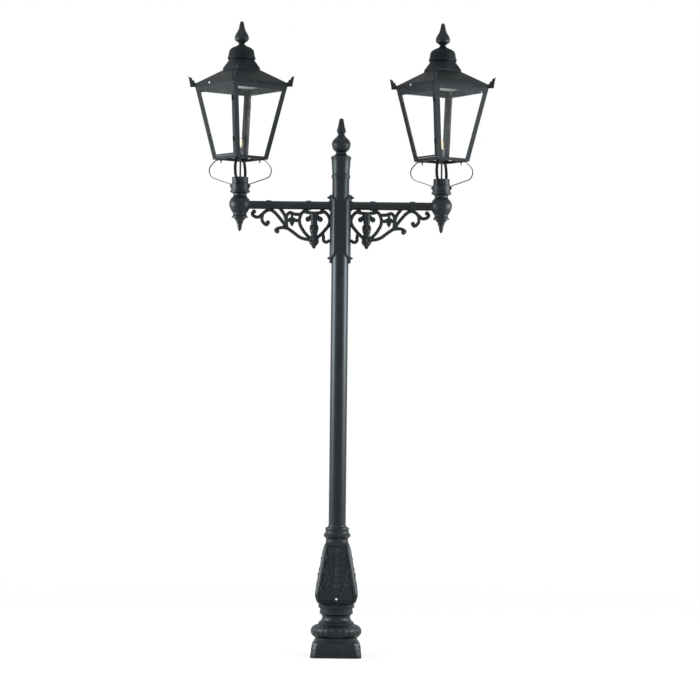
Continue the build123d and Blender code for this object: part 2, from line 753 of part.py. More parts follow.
def roof_solid(inset, low_drop):
    top_half = skirt_half - inset
    low = eave_z + roof_play
    rim = frustum(eave_half - inset, eave_half - inset, low - low_drop, low + fascia_high - inset)
    knee = low + fascia_high - inset
    slope = frustum(eave_half - inset, top_half, knee, knee + roof_rise)
    return rim + slope


def vent_shell(inset, high):
    rings = [(r - inset, z) for r, z in vent_rings]
    dome = [rings[-1]] + [(r - inset, z - inset) for r, z in vent_dome[1:]]
    return turned([(0, 0), rings[0]], *corners(rings), dome,
                  *corners([dome[-1], (vent_top - inset, high), (0, high)]))


def make_roof():
    low = eave_z + roof_play
    top = low + fascia_high + roof_rise
    roof = roof_solid(0, 0) - roof_solid(sheet, 1)
    vent = 2 * (skirt_half - skirt_wall)
    roof -= Pos(0, 0, top - 10) * extrude(Rectangle(vent, vent), 20)
    lining = roof_solid(sheet, 0) - roof_solid(sheet + lining_thick, 1)
    lining &= block(-eave_half, eave_half, -eave_half, eave_half, low + fascia_high - sheet, top)
    lining -= Pos(0, 0, top - 20) * extrude(Rectangle(vent, vent), 40)
    skirt_low = 2 * skirt_half
    skirt = Pos(0, 0, top) * extrude(Rectangle(skirt_low, skirt_low), skirt_upright)
    skirt += loft([Pos(0, 0, top + skirt_upright) * Rectangle(skirt_low, skirt_low),
                   Pos(0, 0, top + skirt_high) * Circle(vent_neck)])
    hollow = skirt_low - 2 * skirt_wall
    skirt -= Pos(0, 0, top) * extrude(Rectangle(hollow, hollow), skirt_upright)
    skirt -= loft([Pos(0, 0, top + skirt_upright) * Rectangle(hollow, hollow),
                   Pos(0, 0, top + skirt_high) * Circle(vent_neck - skirt_wall)])
    cap_z = top + skirt_high
    cap = vent_shell(0, vent_high)
    cap -= vent_shell(vent_wall, vent_dome[-1][1] - vent_wall) & rod(2 * vent_neck, vent_wall, vent_high)
    cap -= rod(vent_neck - skirt_wall, 0, vent_wall)
    spire = turned([(0, 0), (spire_neck, 0)], spire_ball, spire_tip)
    return roof, lining, skirt, Pos(0, 0, cap_z) * cap, Pos(0, 0, cap_z + vent_high) * spire


def make_ears():
    corner = eave_half * sqrt(2)
    outline = [(corner + r, z) for r, z in ear_outline]
    plate = extrude(Plane.XZ * make_face(Polyline(*outline, close=True)), ear_thick / 2, both=True)
    plate = Rot(0, 0, 45) * (Pos(0, 0, eave_z + roof_play) * plate)
    plate -= roof_solid(0, 0)
    plate = plate.solids().sort_by(SortBy.VOLUME)[-1]
    return four_times(plate)


def roof_hinges():
    parts = []
    for y in (-roof_hinge_spread - knuckle_long, roof_hinge_spread - knuckle_long):
        origin = Vector(eave_half + roof_hinge_out, y, eave_z + roof_hinge_up)
        place = Location(Plane(origin=origin, x_dir=(0, 0, 1), z_dir=(0, 1, 0)))
        fixed_leaf = (-roof_hinge_leaf, 0, leaf_sunk - roof_hinge_out, 0)
        moving_leaf = (0, roof_hinge_leaf, -roof_hinge_out - leaf_sunk, 0)
        fixed, moving, pin = hinge(place, roof_knuckle, roof_pin, fixed_leaf, moving_leaf)
        foot = place * block(-roof_hinge_leaf, -roof_hinge_up - leaf_sunk, -roof_hinge_out - 2 * post_thick,
                             0, 0, knuckle_long)
        parts.append((fixed + foot, moving, pin))
    return parts


def knob_place():
    across = eave_half - 2 * eave_half * (1 - knob_share)
    origin = (-eave_half, across, eave_z + roof_play + knob_rise)
    return Location(Plane(origin=origin, x_dir=(0, 0, 1), z_dir=(-1, 0, 0)))


def make_knob():
    dome = turned(*corners([(0, 0), (knob_r, 0), (knob_r, knob_rim)]),
                  [(knob_r, knob_rim), (knob_r * 0.8, knob_proud * 0.7), (knob_r * 0.45, knob_proud * 0.94),
                   (0, knob_proud)])
    return dome + rod(knob_shank, knob_gap - upstand_inset, knob_rim)


def strap_path():
    top = lantern_z - strap_thick / 2
    wall = strap_out + strap_thick / 2
    points = [(strap_inner, top), (strap_tab_out, top), (strap_bow[0], lantern_z - strap_bow[1]),
              (strap_knee[0], lantern_z - strap_knee[1]), (wall, strap_foot_z),
              (wall, strap_foot_z - strap_tail)]
    return FilletPolyline(*points, radius=list(strap_bends))


def make_strap():
    ribbon = trace(strap_path(), strap_thick)
    strap = extrude(Plane.XZ * ribbon, strap_wide / 2, both=True)
    strap -= Pos(0, 0, screw_z) * Rot(0, 90, 0) * rod(screw_r + fit, 0, strap_out + 2 * strap_thick)
    strap -= Pos(drop_bolt_at, 0, lantern_z) * rod(drop_bolt_r + fit, -2 * strap_thick, strap_thick)
    return Rot(0, 0, 45) * strap


def make_screw():
    out = strap_out + strap_thick
    shank = rod(screw_r, out - screw_long, out + 1)
    head = turned(*corners([(0, 0), (screw_head, 0), (screw_head * 0.7, 3), (0, screw_head_long)]))
    screw = shank + Pos(0, 0, out) * head
    return Rot(0, 0, 45) * (Pos(0, 0, screw_z) * Rot(0, 90, 0) * screw)


def make_drop_bolt():
    under = -strap_thick
    nut = Pos(0, 0, gusset_thick) * extrude(RegularPolygon(drop_bolt_nut, 6), 4)
    drop = turned(*corners([(0, 0), (drop_bolt_nut, 0), (drop_bolt_nut, -4), (3.5, -7), (4, -12),
                            (0, -drop_bolt_long)]))
    bolt = rod(drop_bolt_r, under, gusset_thick) + nut + Pos(0, 0, under) * drop
    return Rot(0, 0, 45) * (Pos(drop_bolt_at, 0, lantern_z) * bolt)


def make_socket():
    # Cast bowl and cup; the arm enters from the -X side.
    rings = socket_collar + [(socket_band_r, z) for z in socket_band]
    rings += [(cup_r, socket_band[1] + 4), (cup_r, cup_rim), (0, cup_rim), (0, socket_foot), socket_flange[0]]
    socket = turned(socket_flange, socket_waist, socket_bulge, socket_neck, *corners(rings))
    socket -= Rot(0, -90, 0) * rod(arm_r + fit, arm_seat, 2 * cup_r)
    socket -= Rot(0, -90, 0) * rod(arm_r - arm_wall, 0, arm_seat)
    socket -= rod(wire_way, 0, cup_rim)
    socket -= rod(conduit_r + fit, cup_rim - conduit_seat, cup_rim)
    return Pos(0, 0, arm_height) * socket


def make_lamp():
    foot = arm_height + cup_rim - conduit_seat
    holder_z = lantern_z + holder_foot
    conduit = Pos(0, 0, foot) * tube(conduit_r, conduit_wall, holder_z + holder_floor / 2 - foot)
    holder = rod(holder_r, 0, holder_high) - rod(holder_bore, holder_floor, holder_high)
    holder -= rod(conduit_r + fit, 0, holder_floor / 2)
    holder -= rod(conduit_r - conduit_wall, 0, holder_floor)
    cap = rod(cap_r, holder_floor, holder_floor + cap_high)
    bulb_z = holder_floor + cap_high
    tip = (0, bulb_round[-1][1] - bulb_wall)
    neck = [(r - bulb_wall, z) for r, z in bulb_neck]
    inside = [(r - bulb_wall, z) for r, z in bulb_round[:-1]] + [tip]
    bulb = turned([(0, 0), bulb_neck[0]], bulb_neck, bulb_round) - turned([(0, 0), neck[0]], neck, inside)
    lift = Pos(0, 0, holder_z)
    return conduit, lift * holder, lift * cap, lift * Pos(0, 0, bulb_z) * bulb


def make_lantern_group():
    foot, head = make_rails()
    posts = make_posts()
    door, pane = make_door()
    door_pins = []
    for fixed, moving, pin in lantern_hinges():
        posts += fixed
        door += moving
        door_pins.append(pin)
    door -= catch_place() * rod(catch_shank + pin_play, -2 * door_thick, 2 * door_thick)
    catch = catch_place() * make_catch()
    roof, lining, skirt, cap, spire = make_roof()
    roof_pins = []
    for fixed, moving, pin in roof_hinges():
        head += fixed
        roof += moving
        roof_pins.append(pin)
    roof -= knob_place() * rod(knob_shank + fit, -3 * sheet, sheet)
    knob = knob_place() * make_knob()
    bolt = make_drop_bolt()
    bolt_hole = Pos(drop_bolt_at, 0, lantern_z) * rod(drop_bolt_r + fit, 0, gusset_thick)
    for hole in four_times(Rot(0, 0, 45) * bolt_hole):
        foot -= hole
    screws = four_times(make_screw())
    screw_hole = rod(screw_r + fit, strap_out + strap_thick - screw_long, 2 * socket_band_r)
    screw_holes = four_times(Rot(0, 0, 45) * (Pos(0, 0, screw_z) * Rot(0, 90, 0) * screw_hole))
    conduit, holder, bulb_cap, bulb = make_lamp()
    drop = Pos(0, 0, arm_height + socket_foot) * turned(*corners(drop_rings))
    each = {
        "straps": four_times(make_strap()),
        "foot_rail": [foot],
        "corner_posts": [posts],
        "head_rail": [head],
        "fixed_glass": make_fixed_glass(),
        "door_frame": [door],
        "door_glass": [pane],
        "door_catch": [catch],
        "roof": [roof],
        "roof_lining": [lining],
        "roof_skirt": [skirt],
        "vent_cap": [cap],
        "roof_spire": [spire],
        "roof_ears": make_ears(),
        "roof_knob": [knob],
    }
    shared = {
        "drop_finials": [drop],
        "conduit_pipes": [conduit],
        "lampholders": [holder],
        "bulb_caps": [bulb_cap],
        "bulbs": [bulb],
        "strap_screws": screws,
        "corner_drop_bolts": four_times(bolt),
        "door_hinge_pins": door_pins,
        "roof_hinge_pins": roof_pins,
    }
    places = {"left": Pos(-arm_reach, 0, 0), "right": Pos(arm_reach, 0, 0)}
    turns = {side: Rot(0, 0, angle) for side, angle in lantern_turns.items()}
    for side, place in places.items():
        for name, shapes in each.items():
            save(side + "_" + name, [place * turns[side] * shape for shape in shapes])
        socket = make_socket() if side == "right" else Rot(0, 0, 180) * make_socket()
        for hole in screw_holes:
            socket -= turns[side] * hole
        save(side + "_socket", [place * socket])
    for name, shapes in shared.items():
        save(name, [places[side] * turns[side] * shape for side in places for shape in shapes])


os.makedirs("parts", exist_ok=True)
save("base_plinth", [make_plinth()])
save("base_bowl", [make_base_bowl()])
make_pedestal_group()
make_arm_group(make_column_group())
make_lantern_group()
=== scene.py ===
import json
import math

import bpy
from mathutils import Matrix, Vector


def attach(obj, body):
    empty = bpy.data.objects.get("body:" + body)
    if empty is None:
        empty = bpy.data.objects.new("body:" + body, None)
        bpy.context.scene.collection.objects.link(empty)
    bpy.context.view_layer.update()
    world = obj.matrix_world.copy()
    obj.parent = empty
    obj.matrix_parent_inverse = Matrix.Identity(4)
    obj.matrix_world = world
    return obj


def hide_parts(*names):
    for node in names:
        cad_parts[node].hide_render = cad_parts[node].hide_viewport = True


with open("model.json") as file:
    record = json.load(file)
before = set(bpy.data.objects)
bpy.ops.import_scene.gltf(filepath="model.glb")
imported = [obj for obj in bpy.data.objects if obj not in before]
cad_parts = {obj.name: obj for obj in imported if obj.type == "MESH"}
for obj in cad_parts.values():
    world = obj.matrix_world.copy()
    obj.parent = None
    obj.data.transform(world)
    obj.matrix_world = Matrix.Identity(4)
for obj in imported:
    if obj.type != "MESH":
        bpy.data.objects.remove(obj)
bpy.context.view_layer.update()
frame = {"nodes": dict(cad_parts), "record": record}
nodes = frame["nodes"]
print("frame loaded:", len(nodes), "nodes")

# The lamp post's own measures, in metres
post = {
    "armHeight": 2.837,
    "lanternReach": 0.636,
}


# Shaders

class Wire:
    # one value in a shader that can be reckoned with

    def __init__(self, finish, socket):
        self.finish = finish
        self.socket = socket

    def maths(self, operation, first, second):
        return self.finish.add("ShaderNodeMath", {"operation": operation}, {0: first, 1: second})

    def __add__(self, other):
        return self.maths("ADD", self, other)

    __radd__ = __add__

    def __mul__(self, other):
        return self.maths("MULTIPLY", self, other)

    __rmul__ = __mul__

    def __pow__(self, other):
        return self.maths("POWER", self, other)


class Finish:
    # a node tree that is being filled

    def __init__(self, tree):
        self.tree = tree
        tree.nodes.clear()

    def add(self, kind, settings=(), inputs=(), output=0):
        node = self.tree.nodes.new(kind)
        for name, value in dict(settings).items():
            if name == "stops":
                for place, shade in value[2:]:
                    node.color_ramp.elements.new(place)
                for stop, (place, shade) in zip(node.color_ramp.elements, value):
                    stop.position = place
                    stop.color = shade
            else:
                setattr(node, name, value)
        for name, value in dict(inputs).items():
            if isinstance(value, Wire):
                self.tree.links.new(value.socket, node.inputs[name])
            else:
                node.inputs[name].default_value = value
        return Wire(self, node.outputs[output]) if len(node.outputs) else node

    def place(self):
        return self.add("ShaderNodeTexCoord", output="Object")

    def noise(self, scale, detail=3.0, roughness=0.55, stretch=(1, 1, 1)):
        spot = self.add("ShaderNodeMapping", {}, {"Vector": self.place(), "Scale": stretch})
        return self.add("ShaderNodeTexNoise", {}, {"Vector": spot, "Scale": scale, "Detail": detail,
                                                   "Roughness": roughness})

    def band(self, value, low, high):
        # 0 below low, 1 above high, smooth between
        return self.add("ShaderNodeMapRange", {"interpolation_type": "SMOOTHSTEP"},
                        {"Value": value, "From Min": low, "From Max": high})

    def blend(self, share, first, second):
        return self.add("ShaderNodeMix", {"data_type": "RGBA"}, {0: share, 6: first, 7: second}, 2)

    def bump(self, height, strength, distance, under=None):
        inputs = {"Height": height, "Strength": strength, "Distance": distance}
        if under is not None:
            inputs["Normal"] = under
        return self.add("ShaderNodeBump", {}, inputs)


def newFinish(name):
    material = bpy.data.materials.new(name)
    material.use_nodes = True
    return material, Finish(material.node_tree)


def surface(finish, inputs):
    shader = finish.add("ShaderNodeBsdfPrincipled", {}, inputs)
    finish.add("ShaderNodeOutputMaterial", {}, {"Surface": shader})


paint = {
    "dark": (0.0035, 0.0050, 0.0058, 1),
    "worn": (0.0085, 0.0105, 0.0115, 1),
    "dust": (0.030, 0.034, 0.036, 1),
    "sheen": (0.84, 0.94, 1.0, 1),
}


def makePaint(name, gloss, coarse, ior):
    # black enamel; coarse is how much of the sand casting shows through
    material, finish = newFinish(name)
    cloud = finish.noise(7.0, 4.0)
    streak = finish.noise(5.0, 3.0, 0.6, (6, 6, 0.6))
    peel = finish.noise(260.0, 2.0)
    grit = finish.noise(900.0, 2.0, 0.7)
    tone = finish.blend(finish.band(cloud * 0.6 + streak * 0.4, 0.4, 0.68), paint["dark"], paint["worn"])
    up = finish.add("ShaderNodeSeparateXYZ", {}, {0: finish.add("ShaderNodeNewGeometry", output="Normal")}, 2)
    lying = finish.band(up, 0.6, 0.98) * finish.band(cloud, 0.42, 0.62) * 0.22
    colour = finish.blend(lying, tone, paint["dust"])
    rough = cloud * 0.12 + peel * 0.05 + lying * 0.5 + gloss
    skin = finish.bump(peel, 0.12, 0.0006)
    skin = finish.bump(grit, coarse, 0.0004, skin)
    surface(finish, {"Base Color": colour, "Roughness": rough, "Normal": skin, "IOR": ior,
                     "Specular Tint": paint["sheen"]})
    return material


def makeGlass(name, alpha, clean, dusty):
    # clear glass with a breath of dust in patches
    material, finish = newFinish(name)
    film = finish.noise(9.0, 4.0, 0.6)
    specks = finish.noise(240.0, 2.0)
    haze = finish.band(film, 0.45, 0.75)
    colour = finish.blend(haze, clean, dusty)
    edgeOn = finish.add("ShaderNodeLayerWeight", {}, {"Blend": 0.5}, 1)
    clear = haze * 0.015 + finish.band(specks, 0.70, 0.82) * 0.012 + edgeOn ** 4.0 * 0.25 + alpha
    skin = finish.bump(finish.noise(3.5, 1.0), 0.15, 0.002)
    surface(finish, {"Base Color": colour, "Roughness": haze * 0.06 + 0.03, "Alpha": clear, "Normal": skin,
                     "IOR": 1.45})
    return material


def makeEnamel(name):
    material, finish = newFinish(name)
    cloud = finish.noise(14.0, 4.0)
    peel = finish.noise(320.0, 2.0)
    colour = finish.blend(finish.band(cloud, 0.45, 0.75), (0.86, 0.86, 0.85, 1), (0.72, 0.72, 0.69, 1))
    surface(finish, {"Base Color": colour, "Roughness": cloud * 0.2 + 0.3,
                     "Normal": finish.bump(peel, 0.15, 0.0005)})
    return material


def makeMetal(name, bright, dull, base):
    material, finish = newFinish(name)
    cloud = finish.noise(40.0, 3.0)
    scratch = finish.noise(420.0, 2.0, 0.6, (1, 1, 0.08))
    colour = finish.blend(finish.band(cloud, 0.35, 0.7), bright, dull)
    surface(finish, {"Base Color": colour, "Metallic": 1.0, "Roughness": cloud * 0.15 + scratch * 0.1 + base,
                     "Normal": finish.bump(scratch, 0.12, 0.0002)})
    return material


def makePlastic(name):
    material, finish = newFinish(name)
    cloud = finish.noise(22.0, 3.0)
    grain = finish.noise(1300.0, 1.0)
    colour = finish.blend(cloud, (0.030, 0.030, 0.032, 1), (0.052, 0.050, 0.048, 1))
    surface(finish, {"Base Color": colour, "Roughness": cloud * 0.15 + 0.42,
                     "Normal": finish.bump(grain, 0.2, 0.0002)})
    return material


def makeFilament(name):
    material, finish = newFinish(name)
    cloud = finish.noise(300.0, 2.0)
    colour = finish.blend(cloud, (0.78, 0.52, 0.16, 1), (0.95, 0.74, 0.32, 1))
    surface(finish, {"Base Color": colour, "Metallic": 0.7, "Roughness": cloud * 0.2 + 0.25,
                     "Emission Color": colour, "Emission Strength": 0.6,
                     "Normal": finish.bump(cloud, 0.2, 0.0002)})
    return material


castPaint = makePaint("castPaint", 0.36, 0.35, 1.36)
smoothPaint = makePaint("smoothPaint", 0.31, 0.10, 1.36)
sheetPaint = makePaint("sheetPaint", 0.50, 0.12, 1.24)
finishes = {
    "black_paint": castPaint,
    "clear_glass": makeGlass("clearGlass", 0.012, (0.93, 0.97, 0.97, 1), (0.84, 0.87, 0.86, 1)),
    "white_enamel": makeEnamel("whiteEnamel"),
    "brass": makeMetal("brass", (0.78, 0.58, 0.25, 1), (0.52, 0.36, 0.14, 1), 0.22),
    "plated_steel": makeMetal("platedSteel", (0.62, 0.63, 0.64, 1), (0.42, 0.42, 0.42, 1), 0.25),
    "bright_steel": makeMetal("brightSteel", (0.80, 0.80, 0.79, 1), (0.60, 0.60, 0.60, 1), 0.16),
    "dark_plastic": makePlastic("darkPlastic"),
}
bulbGlass = makeGlass("bulbGlass", 0.07, (0.95, 0.86, 0.62, 1), (0.88, 0.78, 0.54, 1))
filamentFinish = makeFilament("filament")
slotOf = {row["node"]: row["material_slot"] for row in frame["record"]["subparts"]}
smoothNodes = ("column_tube", "left_arm", "right_arm", "arm_clips", "column_head")
sheetNodes = ("roof", "roof_skirt", "vent_cap", "corner_posts", "head_rail", "foot_rail", "door_frame",
              "straps")


def dress(thing, material):
    thing.data.materials.clear()
    thing.data.materials.append(material)


for name, node in nodes.items():
    material = finishes[slotOf[name]]
    if name in smoothNodes:
        material = smoothPaint
    elif name == "bulbs":
        material = bulbGlass
    elif name.split("_", 1)[-1] in sheetNodes:
        material = sheetPaint
    dress(node, material)
print("finishes on the nodes")


# Modelling helpers

def deselect():
    if bpy.context.object and bpy.context.object.mode != "OBJECT":
        bpy.ops.object.mode_set(mode="OBJECT")
    bpy.ops.object.select_all(action="DESELECT")


def only(thing):
    deselect()
    thing.select_set(True)
    bpy.context.view_layer.objects.active = thing


def applyPlace(thing):
    only(thing)
    bpy.ops.object.transform_apply(location=True, rotation=True, scale=True)


def finishModifiers(thing):
    only(thing)
    for modifier in list(thing.modifiers):
        bpy.ops.object.modifier_apply(modifier=modifier.name)


def joined(name, things):
    deselect()
    for thing in things:
        thing.select_set(True)
    bpy.context.view_layer.objects.active = things[0]
    if len(things) > 1:
        bpy.ops.object.join()
    thing = bpy.context.object
    thing.name = name
    return thing


def copied(thing, move=(0, 0, 0), turn=0.0):
    # a copy with its own mesh, turned about the Z axis and then moved
    twin = thing.copy()
    twin.data = thing.data.copy()
    bpy.context.scene.collection.objects.link(twin)
    twin.data.transform(Matrix.Translation(move) @ Matrix.Rotation(turn, 4, "Z"))
    return twin


def discard(*things):
    for thing in things:
        bpy.data.objects.remove(thing)


def settle(thing, body, material, angle=40):
    # the last steps for every new piece
    only(thing)
    bpy.ops.object.shade_smooth_by_angle(angle=math.radians(angle))
    thing.data.materials.clear()
    thing.data.materials.append(material)
    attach(thing, body)
    return thing


def stroke(points, widths, flatten=1.0, sides=3, steps=6):
    # a moulded strip through points in the XZ plane; its half width follows widths
    deselect()
    bpy.ops.curve.primitive_bezier_curve_add(enter_editmode=False, location=(0, 0, 0))
    curve = bpy.context.object
    curve.data.splines.clear()
    line = curve.data.splines.new("BEZIER")
    line.bezier_points.add(len(points) - 1)
    line.resolution_u = steps
    for spot, (x, z), width in zip(line.bezier_points, points, widths):
        spot.co = (x, 0, z)
        spot.radius = width
        spot.handle_left_type = spot.handle_right_type = "AUTO"
    curve.data.dimensions = "3D"
    curve.data.bevel_depth = 1.0
    curve.data.bevel_resolution = sides
    curve.data.use_fill_caps = True
    only(curve)
    bpy.ops.object.convert(target="MESH")
    thing = bpy.context.object
    thing.data.transform(Matrix.Diagonal((1, flatten, 1, 1)))
    return thing


def ball(x, z, size, flatten=1.0, high=1.0):
    deselect()
    bpy.ops.mesh.primitive_uv_sphere_add(segments=16, ring_count=10, radius=size)
    thing = bpy.context.object
    thing.data.transform(Matrix.Translation((x, 0, z)) @ Matrix.Diagonal((1, flatten, high, 1)))
    return thing


def ringOf(name, thing, count, start=0.0):
    copies = [copied(thing, turn=start + 2 * math.pi * i / count) for i in range(count)]
    discard(thing)
    return joined(name, copies)


def spun(rings, steps=32, x=0.0):
    # a turned form: the outline of radius and height is spun about the Z axis
    deselect()
    bpy.ops.mesh.primitive_plane_add(size=0.01, location=(0, 0, 0))
    thing = bpy.context.object
    bpy.ops.object.mode_set(mode="EDIT")
    bpy.ops.mesh.delete(type="ONLY_FACE")
    bpy.ops.mesh.select_all(action="SELECT")
    bpy.ops.mesh.delete(type="VERT")
    bpy.ops.object.mode_set(mode="OBJECT")
    spots = [(radius, 0, height) for radius, height in rings]
    thing.data.from_pydata(spots, [(i, i + 1) for i in range(len(spots) - 1)], [])
    only(thing)
    bpy.ops.object.mode_set(mode="EDIT")
    bpy.ops.mesh.select_all(action="SELECT")
    bpy.ops.mesh.spin(steps=steps, angle=2 * math.pi, center=(0, 0, 0), axis=(0, 0, 1))
    bpy.ops.mesh.select_all(action="SELECT")
    bpy.ops.mesh.remove_doubles(threshold=0.00002)
    bpy.ops.mesh.normals_make_consistent(inside=False)
    bpy.ops.object.mode_set(mode="OBJECT")
    thing.data.transform(Matrix.Translation((x, 0, 0)))
    return thing


# Camera, as the photograph was taken

camera = {
    "place": (0.0691, -15.046, 1.654),
    "pitch": math.radians(1.038),
    "roll": math.radians(0.606),
    "lens": 122.66,
}
bpy.ops.object.camera_add(location=camera["place"])
cameraThing = bpy.context.object
cameraThing.data.lens = camera["lens"]
cameraThing.data.sensor_width = 36
aim = Matrix.Rotation(math.radians(90) + camera["pitch"], 4, "X") @ Matrix.Rotation(camera["roll"], 4, "Z")
cameraThing.rotation_euler = aim.to_euler()
cameraThing.data.clip_end = 200
bpy.context.scene.camera = cameraThing
print("camera set")


# Bulbs' filaments

filament = {"foot": 3.200, "head": 3.252, "spread": 0.0075, "wire": 0.0012}


def makeFilaments():
    lift = filament["head"] - filament["foot"]
    half = filament["spread"]
    points = [(-half * 0.5, 0), (-half * 0.6, lift * 0.45), (-half, lift * 0.7)]
    points += [(half * (-0.8 + 0.2 * i), lift * (0.95 if i % 2 else 0.72)) for i in range(9)]
    points += [(half, lift * 0.7), (half * 0.6, lift * 0.45), (half * 0.5, 0)]
    coil = stroke(points, [filament["wire"]] * len(points), 1.0, 1, 3)
    made = [copied(coil, (side * post["lanternReach"], 0, filament["foot"])) for side in (-1, 1)]
    discard(coil)
    settle(joined("filaments", made), "post", filamentFinish)


makeFilaments()
print("filaments")


# Brackets: round cast bars, a turned stem with a scrolled head, buds and leaves

bracket = {
    "bar": 0.0112,          # half width of a bar
    "tip": 0.0092,          # half width where a bar runs out
    "deep": 1.05,           # thickness of a bar against its width
    "bars": [
        ([(0.204, -0.026), (0.239, -0.043), (0.256, -0.076), (0.258, -0.110), (0.239, -0.152),
          (0.209, -0.190), (0.176, -0.216)], 1, 1),
        ([(0.127, -0.026), (0.087, -0.051), (0.070, -0.081), (0.070, -0.114), (0.098, -0.156),
          (0.130, -0.190), (0.162, -0.215)], 1, 1),
        ([(0.104, -0.040), (0.135, -0.046), (0.166, -0.048), (0.197, -0.046), (0.228, -0.040)], 1, 1),
        ([(0.174, -0.216), (0.214, -0.214), (0.252, -0.203), (0.294, -0.173), (0.336, -0.143),
          (0.360, -0.124)], 1, 1),
        ([(0.330, -0.148), (0.350, -0.143), (0.370, -0.142), (0.395, -0.148), (0.408, -0.160),
          (0.402, -0.170)], 1, 0),
        ([(0.338, -0.142), (0.361, -0.110), (0.395, -0.068), (0.420, -0.043), (0.445, -0.031),
          (0.470, -0.038), (0.496, -0.060), (0.517, -0.076), (0.540, -0.074), (0.557, -0.057),
          (0.551, -0.042)], 1, 0),
        ([(0.490, -0.054), (0.496, -0.089), (0.484, -0.114), (0.465, -0.124), (0.454, -0.112)], 1, 0),
        ([(0.382, -0.022), (0.357, -0.055), (0.345, -0.089), (0.338, -0.137)], 1, 1),
        ([(0.343, -0.096), (0.336, -0.060), (0.319, -0.047), (0.294, -0.055), (0.273, -0.057),
          (0.248, -0.056)], 1, 1),
        ([(0.342, -0.096), (0.306, -0.094), (0.258, -0.097)], 1, 1),
        ([(0.306, -0.050), (0.307, -0.072)], 0, 0),
        ([(0.114, -0.170), (0.106, -0.200), (0.104, -0.222), (0.088, -0.231), (0.066, -0.218)], 1, 0),
    ],
    "knobs": [(0.398, -0.166, 0.0142), (0.546, -0.043, 0.0142), (0.458, -0.110, 0.0142)],
    "volutes": [(0.127, -0.087), (0.205, -0.087)],
    # a scrolled end; insets are the rim, the hollow, the eye and its boss as width and height
    "volute": {"radius": 0.0165, "deep": 0.026, "edge": 0.0012,
               "insets": [(0.0035, 0.0), (0.0015, -0.003), (0.0030, 0.0), (0.0018, 0.004)]},
    "capital": ([(0.127, -0.087), (0.146, -0.070), (0.166, -0.064), (0.186, -0.070), (0.205, -0.087)],
                0.0125),
    "stemAt": 0.166,
    "stem": [(0, -0.040), (0.0245, -0.040), (0.0275, -0.046), (0.0275, -0.058), (0.0235, -0.064),
             (0.0255, -0.072), (0.0230, -0.084), (0.0215, -0.100), (0.0205, -0.120), (0.0208, -0.142),
             (0.0245, -0.147), (0.0262, -0.156), (0.0262, -0.162), (0.0245, -0.170), (0.0210, -0.176),
             (0.0225, -0.206), (0.0260, -0.226), (0.0290, -0.233), (0.0290, -0.241), (0.0230, -0.247),
             (0.0165, -0.253), (0.0135, -0.260), (0.0095, -0.268), (0.0040, -0.273), (0, -0.274)],
    # rings of leaves round the stem: top, length, radius at the top and at the tip
    "leaves": [(-0.196, 0.036, 0.0225, 0.0330), (-0.120, 0.032, 0.0205, 0.0290)],
    "leafWidths": [0.0020, 0.0070, 0.0074, 0.0014],
    "leafCount": 8,
    "buds": [(0.306, -0.101)],
    # a bud's heights and half widths, and a petal's line and half widths
    "bud": {"heights": [0.034, 0.016, 0.0, -0.020, -0.034], "widths": [0.006, 0.013, 0.0185, 0.011, 0.001],
            "petal": [(0.002, 0.022), (0.016, 0.013), (0.026, -0.008)], "petalWidths": [0.005, 0.0090, 0.001]},
}


def makeLeaf(top, length, near, out):
    # a leaf that hangs on the stem and turns outwards at its tip, on the +X side of the axis
    points = [(near - 0.004, top), (near, top - length * 0.3), (near + 0.001, top - length * 0.65),
              (out, top - length)]
    return stroke(points, bracket["leafWidths"], 1.0, 2, 4)


def makeVolute(x, z):
    # a drum with a boss in its eye, on both faces
    size = bracket["volute"]
    deselect()
    bpy.ops.mesh.primitive_cylinder_add(vertices=28, radius=size["radius"], depth=size["deep"],
                                        location=(x, 0, z), rotation=(math.pi / 2, 0, 0))
    drum = bpy.context.object
    applyPlace(drum)
    bpy.ops.object.mode_set(mode="EDIT")
    bpy.ops.mesh.select_mode(type="FACE")
    bpy.ops.mesh.select_all(action="DESELECT")
    bpy.ops.object.mode_set(mode="OBJECT")
    for face in drum.data.polygons:
        face.select = abs(face.normal.y) > 0.9
    bpy.ops.object.mode_set(mode="EDIT")
    for width, depth in size["insets"]:
        bpy.ops.mesh.inset(thickness=width, depth=depth, use_individual=True)
    bpy.ops.object.mode_set(mode="OBJECT")
    edge = drum.modifiers.new("edge", "BEVEL")
    edge.width = size["edge"]
    edge.segments = 2
    finishModifiers(drum)
    return drum


def makeBud(x, z):
    size = bracket["bud"]
    parts = [stroke([(x, z + lift) for lift in size["heights"]], size["widths"], 0.7, 3, 6)]
    for side in (-1, 1):
        line = [(x + side * out, z + lift) for out, lift in size["petal"]]
        parts.append(stroke(line, size["petalWidths"], 0.9, 2, 5))
    return parts


def makeBracket():
    parts = []
    for points, first, last in bracket["bars"]:
        widths = [bracket["bar"]] * len(points)
        if not first:
            widths[0] = bracket["tip"]
        if not last:
            widths[-1] = bracket["tip"]
        parts.append(stroke(points, widths, bracket["deep"], 3, 5))
    for x, z, size in bracket["knobs"]:
        parts.append(ball(x, z, size))
    for x, z in bracket["volutes"]:
        parts.append(makeVolute(x, z))
    parts.append(spun(bracket["stem"], 28, bracket["stemAt"]))
    points, width = bracket["capital"]
    parts.append(stroke(points, [width] * len(points), 1.1, 3, 5))
    for row in bracket["leaves"]:
        leaves = ringOf("leaves", makeLeaf(*row), bracket["leafCount"])
        leaves.data.transform(Matrix.Translation((bracket["stemAt"], 0, 0)))
        parts.append(leaves)
    for x, z in bracket["buds"]:
        parts += makeBud(x, z)
    return joined("bracket", parts)


def makeBrackets():
    first = makeBracket()
    for side, turn in (("right", 0.0), ("left", math.pi)):
        casting = copied(first, (0, 0, post["armHeight"]), turn)
        casting.name = side + "_bracket_casting"
        settle(casting, "post", castPaint, 60)
        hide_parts(side + "_bracket")
    discard(first)


